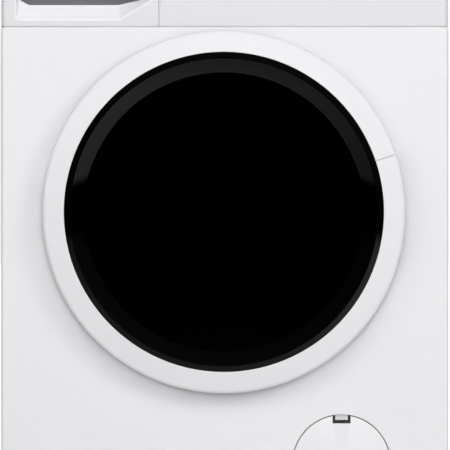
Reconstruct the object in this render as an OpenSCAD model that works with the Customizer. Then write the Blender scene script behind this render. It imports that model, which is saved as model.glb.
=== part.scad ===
// Freestanding heat pump clothes dryer, built as an assembly of separate parts.
// Frame: millimetres, +Z up, front of the machine faces -Y, X to the right.
// Origin: centre of the overall footprint, on the floor under the feet.

/* [Cabinet] */
// Overall width over the side panels
body_w = 597; // [596:0.5:600]
// Overall height, floor to worktop
body_h = 845; // [840:1:850]
// Sheet thickness of the steel panels
sheet_t = 1.2; // [0.8:0.1:1.6]
// Height of the joint line between front panel and control fascia
seam_z = 710; // [709:0.5:711]
// Width of the joint between two neighbouring outer parts
gap = 1.2; // [0.8:0.1:1.6]

/* [Door] */
// Height of the door centre above the floor
door_z = 463; // [462:0.5:464]
// Outer radius of the white door ring
ring_r = 241; // [240.5:0.5:242.5]
// Half angle of the handle segment in the ring
handle_half = 18.5; // [15:0.5:20]
// Radius of the flat middle of the black door glass
glass_flat_r = 185.4; // [178:0.2:188]

/* [Drum] */
// Outer radius of the drum
drum_r = 270; // [262:1:270]
// Height of the drum axis above the floor
drum_z = 515; // [514:1:516]
// Height of the three lifters above the drum wall
lifter_h = 48; // [30:1:50]

/* [Controls and service cover] */
// Radius of the programme knob
knob_r = 21; // [18:0.5:22]
// Radius of the round service cover
cover_r = 64.8; // [60:0.1:65]
// Distance of the service cover's centre from the middle
cover_x = 156; // [155:0.5:157]
// Height of the service cover's centre
cover_z = 127; // [126:0.5:128]

/* [Hidden] */
$fn = 64;

hw = body_w / 2;            // half width
yf = -267;                  // outer face of the front panel
yb = 283;                   // outer face of the rear panel
top_z = 822;                // underside of the worktop
panel_bot = 46;             // lower edge of the front panel
split_x = -87.6;            // joint between tank drawer and control fascia
m_x = 175; m_z = 150;       // motor axis
i_x = 93; i_z = 168;        // tensioner pulley axis
t_x = 50; t_z = 130;        // tensioner arm pivot
motor_pulley_r = 13.5;
tens_r = 18;
roller_r = 34;
belt_y = 98; belt_w = 14; belt_t = 2.4;
roller_d = drum_r + roller_r + 0.3;
roller_x = roller_d * sin(30);
roller_z = drum_z - roller_d * cos(30);
pin_x = -231; pin_y = -285; // door hinge pin
knob_x = 2; ctl_z = 784;    // programme knob axis
key_x = 226;                // option key
start_x = 272;              // start button
cp_x = 195; cp_y = -112;    // compressor axis
foot_x = 252; foot_yf = -215; foot_yb = 240;
steel_white = [0.93, 0.93, 0.94];
plastic_white = [0.95, 0.95, 0.96];

// ---- helpers ----
function arc(cx, cy, r, a0, a1, n = 8) = [for (i = [0:n]) let (a = a0 + (a1 - a0) * i / n) [cx + r * cos(a), cy + r * sin(a)]];
module yext(y0, y1) translate([0, y1, 0]) rotate([90, 0, 0]) linear_extrude(height = y1 - y0) children();
module xext(x0, x1) translate([x0, 0, 0]) rotate([90, 0, 90]) linear_extrude(height = x1 - x0) children();
module zext(z0, z1) translate([0, 0, z0]) linear_extrude(height = z1 - z0) children();
module ycyl(r, y0, y1, x = 0, z = 0) translate([x, y1, z]) rotate([90, 0, 0]) cylinder(r = r, h = y1 - y0);
module yrev(x, z, pts) translate([x, 0, z]) rotate([-90, 0, 0]) rotate_extrude() polygon(pts);
module box(x0, x1, y0, y1, z0, z1) translate([x0, y0, z0]) cube([x1 - x0, y1 - y0, z1 - z0]);
module tube(r1, r0, y0, y1, x = 0, z = 0) difference() { ycyl(r1, y0, y1, x, z); ycyl(r0, y0 - 1, y1 + 1, x, z); }
function rrect(x0, x1, y0, y1, r, n = 6) = concat(arc(x1 - r, y1 - r, r, 0, 90, n), arc(x0 + r, y1 - r, r, 90, 180, n),
  arc(x0 + r, y0 + r, r, 180, 270, n), arc(x1 - r, y0 + r, r, 270, 360, n));
module run(a, b, r) { d = b - a; l = norm(d); translate(a) rotate([0, acos(d[2] / l), atan2(d[1], d[0])]) cylinder(r = r, h = l); }
module pipe(p, r) union() { for (i = [0:len(p) - 2]) run(p[i], p[i + 1], r); for (i = [1:len(p) - 2]) translate(p[i]) sphere(r = r * 1.18); }

// Plan of a front part that wraps round both front corners: outer edge at y0, returns back to y1
function wrap_plan(x0, x1, y0, y1, r) = concat([[x0, y1]], arc(x0 + r, y0 + r, r, 180, 270), arc(x1 - r, y0 + r, r, 270, 360), [[x1, y1]]);
module wrap(x0, x1, y0, y1, r, t) polygon(concat(wrap_plan(x0, x1, y0, y1, r),
  [for (p = [len(wrap_plan(x0, x1, y0, y1, r)) - 1:-1:0]) wrap_plan(x0 + t, x1 - t, y0 + t, y1, r - t)[p]]));

// ---- cabinet ----
module base_pan() color([0.62, 0.63, 0.65]) difference() {
  union() {
    difference() { box(-289, 289, -246, 276, 17, 72); box(-285, 285, -242, 272, 22, 80); }
    difference() { box(-249, -26, -209, 134, 20, 200); box(-245, -30, -205, 130, 21, 210); box(-40, -20, 62, 124, 40, 190); box(-236, -38, -220, -200, 40, 190); }
    for (x = [-foot_x, foot_x], y = [foot_yf, foot_yb]) translate([x, y, 17]) cylinder(r = 13, h = 43);
    box(130, 220, -20, 60, 21, 60);
    translate([cp_x, cp_y, 21]) cylinder(r = 64, h = 6);
    box(t_x - 12, t_x + 12, 90, 110, 21, 140);
    ycyl(4, 100, 122, t_x, t_z);
  }
  ycyl(74, -250, -205, cover_x, cover_z);
  box(-246.2, 27, -250, -209, 31.8, 80);
  box(cover_x - 24, cover_x + 24, -250, -241, 45, 80);
  translate([-45, -152, 90]) rotate([0, 90, 0]) cylinder(r = 6, h = 30);
  translate([-45, -37, 166]) rotate([0, 90, 0]) cylinder(r = 6, h = 30);
  for (x = [-foot_x, foot_x], y = [foot_yf, foot_yb]) translate([x, y, 10]) cylinder(r = 5.3, h = 60);
  for (i = [0:6]) box(-20 + i * 14, -14 + i * 14, 150, 250, 10, 30);
}

module plinth() color(plastic_white) difference() {
  zext(18, panel_bot - gap) wrap(-hw + 1, hw - 1, yf + 3, -249, 5, 2.4);
  for (i = [0:4]) box(-250, -110, yf, -258, 23 + i * 4.2, 24.8 + i * 4.2);
}

module side_panel_left() color(steel_white) union() {
  box(-hw, -hw + sheet_t, -248, yb - sheet_t, 17, top_z - 0.5);
  box(-hw + sheet_t - 0.01, -hw + 8, -248, -248 + sheet_t, 75, 700);
  box(-hw + sheet_t - 0.01, -hw + 8, yb - 2 * sheet_t, yb - sheet_t, 75, top_z - 0.5);
  box(-hw + sheet_t - 0.01, -hw + 9, -240, yb - 2 * sheet_t, top_z - 0.5 - sheet_t, top_z - 0.5);
}
module side_panel_right() mirror([1, 0, 0]) side_panel_left();

module duct_outline(d) union() {
  translate([0, drum_z]) circle(r = 226 + d);
  polygon([[112 - d, 192 - d], [232 + d, 192 - d], [226 + d, drum_z], [0, drum_z], [-60 - d, 297 - d]]);
}
module rear_panel() color([0.78, 0.79, 0.80]) difference() {
  box(-hw + 1, hw - 1, yb - sheet_t, yb, 17, top_z - 0.5);
  yext(yb - 5, yb + 5) duct_outline(0);
  ycyl(9, yb - 5, yb + 5, 240, 770);
  ycyl(9.5, yb - 5, yb + 5, -240, 120);
  for (i = [0:9]) box(-180, -40, yb - 5, yb + 5, 60 + i * 9, 63.5 + i * 9);
  for (i = [0:5]) box(150, 250, yb - 5, yb + 5, 60 + i * 9, 63.5 + i * 9);
}
module rear_duct_cover() color([0.72, 0.73, 0.74]) union() {
  difference() { yext(yb + 1, 305) duct_outline(6); yext(yb - 1, 303.4) duct_outline(4.4); }
  difference() { yext(yb, yb + sheet_t) duct_outline(18); yext(yb - 1, yb + 3) duct_outline(5); }
}

function top_profile() = concat([[yb, 823.5]], [[yb, body_h - 3]], arc(yb - 3, body_h - 3, 3, 0, 90, 5), arc(-270 + 5, body_h - 5, 5, 90, 180, 8),
  [[-270, 825]], arc(-268.5, 823.5, 1.5, 180, 270, 4), [[yb - 1.5, 822]]);
module worktop() color(plastic_white) intersection() {
  xext(-hw, hw) polygon(top_profile());
  zext(800, 900) polygon(rrect(-hw, hw, -270, yb, 4));
}

// ---- front panel ----
module front_panel() color(steel_white) difference() {
  union() {
    zext(panel_bot, seam_z - gap / 2) wrap(-hw, hw, yf, -249.5, 5, sheet_t);
    box(-hw + 4, hw - 4, yf + sheet_t - 0.05, yf + 13, seam_z - gap / 2 - sheet_t, seam_z - gap / 2);
    box(-hw + 4, hw - 4, yf + sheet_t - 0.05, yf + 13, panel_bot, panel_bot + sheet_t);
    ycyl(204.2, yf + 0.4, yf + 4.4, 0, door_z);
  }
  ycyl(203, yf - 3, yf + 30, 0, door_z);
  ycyl(cover_r + 1.2, yf - 3, yf + 5, cover_x, cover_z);
  for (s = [-1, 1]) box(-214.5, -207.5, yf - 3, yf + 6, door_z + min(s * 16, s * 31.5), door_z + max(s * 16, s * 31.5));
  box(207, 219, yf - 3, yf + 6, door_z - 11, door_z + 11);
}

// ---- control fascia and tank drawer front share one section ----
function face_y(z) = -269.8 + 3.4 * pow((z - 772) / 61, 2);
function fascia_profile(o) = concat(
  [[-252 + 20 * o, seam_z + gap / 2 + 2.5 * o], [face_y(712) + 1.6 + 2.4 * o, seam_z + gap / 2 + 2.5 * o]],
  [for (i = [0:12]) let (z = 712.5 + 107.5 * i / 12) [face_y(z) + 2.5 * o, z + (i == 0 ? 2 * o : 0) - (i == 12 ? 2 * o : 0)]],
  [[face_y(821) + 1.2 + 2.4 * o, top_z - 0.6 - 2.5 * o], [-252 + 20 * o, top_z - 0.6 - 2.5 * o]]);
module fascia_shell(x0, x1, rl, rr) difference() {
  intersection() {
    xext(x0, x1) polygon(fascia_profile(0));
    zext(700, 830) polygon(concat([[x0, -240]], rl > 0 ? arc(x0 + rl, -270.4 + rl, rl, 180, 270) : [[x0, -275]],
      rr > 0 ? arc(x1 - rr, -270.4 + rr, rr, 270, 360) : [[x1, -275]], [[x1, -240]]));
  }
  xext(x0 + 2.5, x1 - 2.5) polygon(fascia_profile(1));
}
module control_fascia() color(plastic_white) difference() {
  fascia_shell(split_x + gap / 2, hw - 1.3, 0, 6);
  ycyl(5, -280, -260, knob_x, ctl_z);
  box(70, 190, -280, -260, ctl_z - 20, ctl_z + 20);
  yext(-280, -260) polygon(rrect(key_x - 9.5, key_x + 9.5, ctl_z - 6.5, ctl_z + 6.5, 5));
  ycyl(11.5, -280, -260, start_x, ctl_z);
}
module display_window() color([0.03, 0.03, 0.035]) union() {
  yext(-270.7, -267.5) polygon(rrect(70.3, 189.7, ctl_z - 19.7, ctl_z + 19.7, 3));
  box(66, 194, -265.9, -264.4, ctl_z - 23, ctl_z + 23);
  box(72, 188, -267.6, -265.8, ctl_z - 18, ctl_z + 18);
}
module control_board() color([0.1, 0.38, 0.22]) union() {
  box(-32, 290, -254, -252.4, ctl_z - 30, ctl_z + 30);
  ycyl(9, -259, -253.9, knob_x, ctl_z);
  box(74, 186, -264.2, -253.9, ctl_z - 17, ctl_z + 17);
  for (x = [key_x, start_x]) box(x - 4, x + 4, -257.5, -253.9, ctl_z - 4, ctl_z + 4);
  box(-26, -14, -252.5, -240, ctl_z - 24, ctl_z + 10);
  box(30, 62, -252.5, -232, ctl_z - 22, ctl_z + 8);
  for (i = [0:3]) translate([214 + i * 17, -252.5, ctl_z + 14]) rotate([-90, 0, 0]) cylinder(r = 5.5, h = 15);
}
module program_knob() color([0.93, 0.93, 0.94]) union() {
  difference() {
    yrev(knob_x, ctl_z, [[0, -289.5], [knob_r - 3.2, -290.5], [knob_r - 1.2, -289.6], [knob_r - 0.6, -288], [knob_r + 0.2, -273], [knob_r - 2, -271.6], [knob_r - 2.4, -271.6], [knob_r - 3, -286.5], [0, -286.5]]);
    box(knob_x - 0.8, knob_x + 0.8, -293, -289, ctl_z + knob_r - 9, ctl_z + knob_r - 3.5);
  }
  ycyl(4.4, -286.8, -259.4, knob_x, ctl_z);
}
module option_key() color([0.90, 0.90, 0.91]) union() {
  yext(-271.4, -264) polygon(rrect(key_x - 9, key_x + 9, ctl_z - 6, ctl_z + 6, 4.6));
  box(key_x - 11, key_x + 11, -265.8, -264, ctl_z - 8, ctl_z + 8);
  box(key_x - 2, key_x + 2, -264.1, -259.3, ctl_z - 2, ctl_z + 2);
}
module start_button() color([0.86, 0.87, 0.89]) union() {
  yrev(start_x, ctl_z, [[0, -272.2], [8, -272.6], [10.2, -272.4], [11, -271.4], [11, -264], [0, -264]]);
  ycyl(13.5, -265.8, -264, start_x, ctl_z);
  box(start_x - 2, start_x + 2, -264.1, -259.3, ctl_z - 2, ctl_z + 2);
}

// ---- condensate tank drawer ----
grip_front = [[-278, 719.5], [-141, 719.5], [-98.5, 744.9], [-96.5, 749], [-96.5, 771], [-101, 775.5], [-273, 775.5], [-278, 770.5]];
grip_deep = [[-274, 748], [-266, 739.6], [-131, 739.6], [-108.5, 752.4], [-107.5, 755], [-107.5, 769], [-110, 771.5], [-272, 771.5], [-274, 769.5]];
module grip_hull(g, y0, y1, y2) {
  back = [for (p = grip_deep) [p[0] + g * (p[0] < -180 ? -1 : 1), p[1] + g * (p[1] < 755 ? -1 : 1)]];
  hull() {
    yext(y0, y0 + 0.5) polygon([for (p = grip_front) [p[0] + g * (p[0] < -180 ? -1 : 1), p[1] + g * (p[1] < 747 ? -1 : 1)]]);
    yext(y1 - 0.5, y1) polygon(back);
  }
  yext(y1 - 0.5, y2) polygon(back);
}
module drawer_front() color(plastic_white) difference() {
  union() {
    fascia_shell(-hw + 1.3, split_x - gap / 2, 6, 0);
    grip_hull(2.4, -267.2, -247, -225.5);
  }
  grip_hull(0, -271, -249, -228);
}
tank_o = [[-284, 722], [-215, 722], [-95, 792], [-95, 808], [-284, 808]];
tank_i = [[-281.8, 724.2], [-215.6, 724.2], [-97.2, 793.3], [-97.2, 805.8], [-281.8, 805.8]];
module water_tank() color([0.80, 0.84, 0.87]) difference() {
  union() {
    yext(-225.5, 160) polygon(tank_o);
    translate([-250, 120, 807]) cylinder(r = 22, h = 4);
  }
  yext(-223.3, 157.8) polygon(tank_i);
  translate([-250, 120, 800]) cylinder(r = 18, h = 20);
}
module tank_housing() color([0.70, 0.71, 0.73]) union() {
  difference() {
    yext(-223.5, 168) polygon([[-287.5, 718.5], [-214, 718.5], [-91.5, 789.9], [-91.5, 814], [-287.5, 814]]);
    yext(-250, 166) polygon([[-285.5, 720.5], [-214.6, 720.5], [-93.5, 791.1], [-93.5, 820], [-285.5, 820]]);
  }
  box(-287.5, -91.5, 100, 150, 812, 814);
}

// ---- front and rear bulkheads ----
module front_bulkhead() color([0.80, 0.81, 0.83]) difference() {
  union() {
    difference() { box(-284, 284, -262, -259.5, 216, 706); ycyl(201, -265, -255, 0, door_z); }
    yrev(0, door_z, [[201, -262], [204, -262], [204, -246], [181, -246], [181, -198], [178, -198], [178, -248.5], [201, -248.5]]);
    difference() {
      union() {
        ycyl(262, -201, -197.5, 0, drum_z);
        for (s = [-1, 1]) box(s * roller_x - 28, s * roller_x + 28, -201, -197.5, roller_z - 28, roller_z + 32);
      }
      ycyl(178, -210, -190, 0, door_z);
      for (s = [-1, 1]) ycyl(6, -210, -190, s * roller_x, roller_z);
    }
    tube(262, 258.5, -201, -180, 0, drum_z);
    for (s = [-1, 1]) box(s * 215 - 8, s * 215 + 8, -260, -200, 600, 640);
    for (s = [-1, 1]) box(s * 160 - 8, s * 160 + 8, -260, -200, 262, 278);
  }
  box(-86, 86, -244, -212, 230, 320);
  box(204.5, 242, -266, -255, door_z - 32, door_z + 32);
  box(-244, -204.5, -266, -255, door_z - 42, door_z + 42);
  ycyl(76, -266, -255, cover_x, cover_z);
}
module front_drum_seal() color([0.35, 0.34, 0.33]) tube(drum_r - 1.8, 262.05, -196, -181, 0, drum_z);

// duct from the lint filter down to the evaporator
duct_o = [[-71.5, 281.3], [71.5, 281.3], [71.5, 112], [-20, 32], [-246, 32], [-246, 190], [-150, 205], [-71.5, 226]];
duct_i = [[-69, 290], [69, 290], [69, 113.1], [-20.9, 34.5], [-243.5, 34.5], [-243.5, 187.8], [-149.5, 202.5], [-69, 224.1]];
module air_duct() color([0.66, 0.67, 0.69]) difference() {
  union() {
    yext(-245.8, -209) polygon(duct_o);
    box(-252, -23, -209.5, 137, 188, 204);
  }
  yext(-244, -212) polygon(duct_i);
  box(-236, -38, -215, -200, 40, 188);
  box(-249.4, -25.6, -209.2, 134.4, 180, 200.2);
}

module rear_bulkhead() color([0.75, 0.76, 0.77]) difference() {
  union() {
    box(-284, 284, 243, 244.6, 238, 800);
    tube(277, 275, 231, 243.1, 0, drum_z);
  }
  difference() {
    ycyl(226, 240, 250, 0, drum_z);
    ycyl(120, 239, 251, 0, drum_z);
    for (a = [30:60:330]) translate([0, 240, drum_z]) rotate([0, a, 0]) translate([-9, 0, 0]) cube([18, 12, 240]);
  }
  ycyl(24, 240, 250, 0, drum_z);
  for (a = [0:90:270]) ycyl(2.6, 240, 250, 34 * cos(a), drum_z + 34 * sin(a));
}
module drum_bearing() color([0.55, 0.56, 0.58]) difference() {
  yrev(0, drum_z, [[12.55, 241], [24, 241], [24, 244.6], [42, 244.6], [42, 249], [26, 251], [26, 263], [12.55, 263]]);
  for (a = [0:90:270]) ycyl(2.6, 240, 250, 34 * cos(a), drum_z + 34 * sin(a));
}

// ---- drum ----
module drum_shell() color([0.80, 0.81, 0.82]) yrev(0, drum_z, [
  [drum_r - 1.2, -190], [drum_r, -190], [drum_r, -112], [drum_r + 1.6, -108], [drum_r + 1.6, -102], [drum_r, -98],
  [drum_r, 8], [drum_r + 1.6, 12], [drum_r + 1.6, 18], [drum_r, 22], [drum_r, 238], [drum_r - 1.2, 238],
  [drum_r - 1.2, 22.3], [drum_r + 0.4, 17.8], [drum_r + 0.4, 12.2], [drum_r - 1.2, 7.7],
  [drum_r - 1.2, -97.7], [drum_r + 0.4, -102.2], [drum_r + 0.4, -107.8], [drum_r - 1.2, -112.3]]);
module drum_back() color([0.80, 0.81, 0.82]) union() {
 yrev(0, drum_z, [[0, 235.5], [58, 235.5], [58, 238.6], [20, 239.8], [12.5, 239.8], [12.5, 266], [11.5, 267], [0, 267]]);
 difference() {
  yrev(0, drum_z, [[0, 234.5], [62, 234.5], [92, 224.5], [236, 224.5], [254, 234.5], [drum_r - 1.4, 234.5],
    [drum_r - 1.4, 236], [253.5, 236], [235.5, 226], [92.5, 226], [62.5, 236], [0, 236]]);
  for (k = [0:2]) for (a = [0:15:345]) ycyl(4.5, 220, 240, (130 + 34 * k) * cos(a + 5 * k), drum_z + (130 + 34 * k) * sin(a + 5 * k));
 }
}
function lifter_pts() = concat(arc(0, 0, drum_r - 1.6, 82.5, 97.5, 6),
  [[-24, drum_r - 14], [-13, drum_r - lifter_h + 8]], arc(0, drum_r - lifter_h + 9.5, 11, 187, 353, 10), [[13, drum_r - lifter_h + 8], [24, drum_r - 14]]);
function lifter_hollow() = concat(arc(0, 0, drum_r - 1, 83.6, 96.4, 4), [[-20.6, drum_r - 14.6], [-10.4, drum_r - lifter_h + 10]],
  arc(0, drum_r - lifter_h + 9.9, 8.6, 187, 353, 8), [[10.4, drum_r - lifter_h + 10], [20.6, drum_r - 14.6]]);
module drum_lifters() color([0.70, 0.71, 0.73]) for (a = [0:120:240]) translate([0, 0, drum_z]) rotate([0, a, 0]) difference() {
  yext(-172, 218) polygon(lifter_pts());
  yext(-169.5, 215.5) polygon(lifter_hollow());
}
module roller(s) color([0.25, 0.25, 0.27]) yrev(s * roller_x, roller_z, [[6.05, -186], [16, -186], [16, -182], [28, -182], [28, -184], [roller_r - 1, -184], [roller_r, -183],
  [roller_r, -167], [roller_r - 1, -166], [28, -166], [28, -168], [16, -168], [16, -166], [6.05, -166]]);
module front_roller_left() roller(-1);
module front_roller_right() roller(1);
module roller_axles() color([0.6, 0.6, 0.62]) for (s = [-1, 1]) union() {
  ycyl(6, -204, -163, s * roller_x, roller_z);
  ycyl(9.5, -165.2, -162, s * roller_x, roller_z);
  ycyl(10, -206, -201.05, s * roller_x, roller_z);
}

// ---- belt drive ----
c_d = [0, drum_z]; c_p = [m_x, m_z]; c_i = [i_x, i_z];
r_d = drum_r + 0.6 + belt_t / 2; r_p = motor_pulley_r + 0.3 + belt_t / 2; r_i = tens_r + 0.3 + belt_t / 2;
function heading(a, b) = atan2(b[1] - a[1], b[0] - a[0]);
f1 = heading(c_d, c_i) + asin((r_d + r_i) / norm(c_i - c_d));
f2 = heading(c_i, c_p) - asin((r_i + r_p) / norm(c_p - c_i));
f3 = heading(c_p, c_d) - asin((r_d - r_p) / norm(c_d - c_p));
function belt_loop(o) = concat(
  arc(c_d[0], c_d[1], r_d + o, f3 - 90, f1 - 90 + (f1 < f3 ? 360 : 0), 84),
  arc(c_i[0], c_i[1], r_i - o, f1 + 90, f2 + 90, 8),
  arc(c_p[0], c_p[1], r_p + o, f2 - 90, f3 - 90 + (f3 < f2 ? 360 : 0), 16));
module drive_belt() color([0.08, 0.08, 0.08]) difference() {
  yext(belt_y, belt_y + belt_w) polygon(belt_loop(belt_t / 2));
  yext(belt_y - 1, belt_y + belt_w + 1) polygon(belt_loop(-belt_t / 2));
}
module drive_motor() color([0.45, 0.47, 0.50]) difference() {
  union() {
    yrev(m_x, m_z, [[8.05, -40], [16, -40], [18, -34], [40, -34], [50, -26], [52, -24], [52, 64], [50, 66], [40, 74], [18, 74], [16, 80], [8.05, 80]]);
    box(m_x - 34, m_x + 34, -16, 56, 60, m_z - 30);
    box(m_x - 20, m_x + 20, 0, 44, m_z + 48, m_z + 62);
  }
  ycyl(49, -20, 60, m_x, m_z);
  ycyl(8.05, -50, 90, m_x, m_z);
}
module motor_shaft() color([0.62, 0.62, 0.64]) yrev(m_x, m_z, [[0, -46], [8, -46], [8, -15], [46, -15], [46, 55], [8, 55],
  [8, 94], [16.4, 94], [16.4, 96.4], [motor_pulley_r, 96.4], [motor_pulley_r, 113.6], [16.4, 113.6], [16.4, 116], [8, 116], [8, 232], [0, 232]]);
module fan_wheel() color([0.30, 0.31, 0.33]) difference() {
  union() {
    yrev(m_x, m_z, [[7, 196], [14, 196], [16, 222], [78, 222], [78, 224], [7, 224]]);
    tube(78, 62, 172, 174, m_x, m_z);
    for (a = [0:15:345]) translate([m_x, 173, m_z]) rotate([0, a, 0]) translate([60, 0, -3]) rotate([0, -28, 0]) cube([17, 50, 1.6]);
  }
  ycyl(8, 150, 240, m_x, m_z);
}
function scroll(o) = [for (i = [0:60]) let (a = 180 + 6 * i, r = 84 + 18 * i / 60 + o) [m_x + r * cos(a), m_z + r * sin(a)]];
module fan_housing() color([0.66, 0.67, 0.69]) difference() {
  yext(164, 236) polygon(scroll(2));
  yext(166.2, 233.8) polygon(scroll(0));
  ycyl(52, 160, 168, m_x, m_z);
  box(122, 228, 232, 240, 196, 232);
}
module tensioner_arm() color([0.55, 0.56, 0.58]) difference() {
  union() {
    hull() { ycyl(9, 117, 120.5, t_x, t_z); ycyl(8, 117, 120.5, i_x, i_z); }
    ycyl(9, 112, 120.5, t_x, t_z);
    ycyl(4, 95, 120.5, i_x, i_z);
    ycyl(6.5, 94, 95.5, i_x, i_z);
  }
  ycyl(4.05, 110, 125, t_x, t_z);
}
module tensioner_pulley() color([0.15, 0.15, 0.16]) yrev(i_x, i_z, [[4.05, 97], [tens_r - 1, 97], [tens_r, 98], [tens_r, 112.6], [tens_r - 1, 113.6], [4.05, 113.6]]);

// ---- heat pump ----
module fin_pack(y0, y1, c) color(c) union() {
  for (i = [0:20]) box(-232 + i * 9.3, -230.6 + i * 9.3, y0, y1, 22, 187);
  for (j = [0:2], k = [0:3]) translate([-236, y0 + (y1 - y0) * (j + 0.5) / 3, 52 + k * 38]) rotate([0, 90, 0]) cylinder(r = 5, h = 198);
}
module evaporator() fin_pack(-192, -112, [0.72, 0.74, 0.76]);
module condenser() fin_pack(-92, 18, [0.75, 0.72, 0.66]);
module compressor() color([0.10, 0.10, 0.11]) union() {
  translate([cp_x, cp_y, 0]) rotate_extrude() polygon([[0, 36], [46, 36], [56, 42], [58, 50], [58, 160], [55, 172], [44, 184], [24, 191], [0, 193]]);
  translate([cp_x, cp_y, 32]) cylinder(r = 62, h = 3.4);
  translate([cp_x, cp_y, 34]) cylinder(r = 40, h = 4);
  for (a = [90:120:330]) translate([cp_x + 52 * cos(a), cp_y + 52 * sin(a), 27]) cylinder(r = 9, h = 10);
  box(cp_x + 10, cp_x + 45, cp_y - 30, cp_y + 2, 120, 158);
  translate([124, -86, 60]) cylinder(r = 17, h = 90);
  box(124, 150, -96, -86, 80, 90);
}
module refrigerant_pipes() color([0.72, 0.45, 0.30]) union() {
  pipe([[-37.9, -152, 90], [8, -152, 90], [8, -86, 214], [124, -86, 214], [124, -86, 150.1]], 4.5);
  pipe([[-37.9, -37, 166], [0, -37, 166], [0, -37, 222], [cp_x, cp_y, 222], [cp_x, cp_y, 193.1]], 4);
}
module condensate_pump() color([0.55, 0.56, 0.58]) union() {
  translate([-160, 205, 22]) cylinder(r = 34, h = 40);
  translate([-160, 205, 61]) cylinder(r = 22, h = 46);
  box(-172, -148, 193, 217, 106, 116);
  pipe([[-182, 205, 50], [-240, 205, 50], [-240, 205, 120], [-240, 262, 120]], 6);
  ycyl(7, 255, 301, -240, 120);
  ycyl(14, yb + 0.1, yb + 3, -240, 120);
  ycyl(14, yb - 5, yb - sheet_t - 0.1, -240, 120);
}
module cable_gland() color([0.12, 0.12, 0.13]) difference() {
  union() {
    ycyl(8.9, yb - 8, yb + 6, 240, 770);
    yext(yb + 0.05, yb + 4) translate([240, 770]) circle(r = 14);
    ycyl(13, yb - 8, yb - sheet_t - 0.05, 240, 770);
    yrev(240, 770, [[4.6, yb + 3.9], [11, yb + 3.9], [8.4, yb + 16], [4.6, yb + 16]]);
  }
  ycyl(4.6, yb - 20, yb + 30, 240, 770);
}
module foot(x, y) translate([x, y, 0]) union() {
  rotate_extrude() polygon([[0, 0], [20, 0], [22, 2], [22, 6], [16, 9], [9, 10], [0, 10]]);
  cylinder(r = 5, h = 58);
  translate([0, 0, 10]) cylinder(r = 10, h = 5, $fn = 6);
}
module foot_front_left() color([0.13, 0.13, 0.14]) foot(-foot_x, foot_yf);
module foot_front_right() color([0.13, 0.13, 0.14]) foot(foot_x, foot_yf);
module foot_rear_left() color([0.13, 0.13, 0.14]) foot(-foot_x, foot_yb);
module foot_rear_right() color([0.13, 0.13, 0.14]) foot(foot_x, foot_yb);

// ---- service cover ----
h_y = -262.6; h_z = cover_z - 75.5;   // cover hinge, below the opening and behind the panel
function cover_arm() = concat([[h_y, h_z - 2.4]], arc(h_y, h_z, 16.6, -8.3, 84, 10), [[h_y + 1.7, h_z + 22], [-264.8, h_z + 22], [-264.8, h_z + 13.5]],
  arc(h_y, h_z, 13.6, 98, 5, 10), [[h_y, h_z + 1.2]]);
module service_cover() color(steel_white) difference() {
  union() {
    yrev(cover_x, cover_z, [[0, yf], [cover_r - 0.6, yf], [cover_r, yf + 0.6], [cover_r, yf + 3], [cover_r - 2.4, yf + 3], [cover_r - 2.4, yf + 2.4], [0, yf + 2.4]]);
    for (s = [-1, 1]) translate([cover_x + s * 16 - 2, 0, 0]) union() {
      xext(0, 4) polygon(cover_arm());
      translate([0, h_y, h_z]) rotate([0, 90, 0]) cylinder(r = 2.8, h = 4);
    }
    for (s = [-1, 1]) translate([cover_x + (s < 0 ? -24 : 17), h_y, h_z]) rotate([0, 90, 0]) cylinder(r = 1.6, h = 7);
    box(cover_x - 15, cover_x + 15, yf + 2.2, yf + 6, cover_z + 48, cover_z + 50);
  }
  box(cover_x - 12, cover_x + 12, yf - 2, yf + 4, cover_z + cover_r - 10.9, cover_z + cover_r + 5);
}
module service_housing() color([0.88, 0.88, 0.89]) difference() {
  union() {
    tube(75, 70, yf + sheet_t + 0.05, yf + 5, cover_x, cover_z);
    tube(72, 70, yf + 3, -217, cover_x, cover_z);
    tube(72, 37, -219, -216.5, cover_x, cover_z);
    tube(41, 38, -217, -172, cover_x, cover_z);
    ycyl(41, -174, -171.5, cover_x, cover_z);
    box(cover_x - 8.5, cover_x + 8.5, yf + 2.2, yf + 9, cover_z + cover_r - 6.3, cover_z + 70.5);
    for (s = [-1, 1]) box(cover_x + s * 21 - 2, cover_x + s * 21 + 2, h_y - 2.8, -250, h_z - 2.8, h_z + 8.5);
  }
  for (s = [-1, 1]) translate([cover_x + s * 21 - 5, h_y, h_z]) rotate([0, 90, 0]) cylinder(r = 1.66, h = 10);
  for (s = [-1, 1]) box(cover_x + s * 16 - 2.9, cover_x + s * 16 + 2.9, -267, -243, 44, 66);
}
module filter_knob() color([0.20, 0.22, 0.25]) union() {
  yrev(cover_x, cover_z, [[0, -232], [33, -232], [34.5, -230.5], [34.5, -220.5], [36.4, -220.5], [36.4, -205], [30, -205], [30, -216], [0, -216]]);
  box(cover_x - 5, cover_x + 5, -246, -231.9, cover_z - 30, cover_z + 30);
  difference() {
    tube(30, 28, -205.1, -180, cover_x, cover_z);
    for (a = [0:30:330]) translate([cover_x, -200, cover_z]) rotate([0, a, 0]) translate([20, 0, -3]) cube([15, 16, 6]);
  }
  tube(31, 8, -182, -180, cover_x, cover_z);
}

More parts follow.
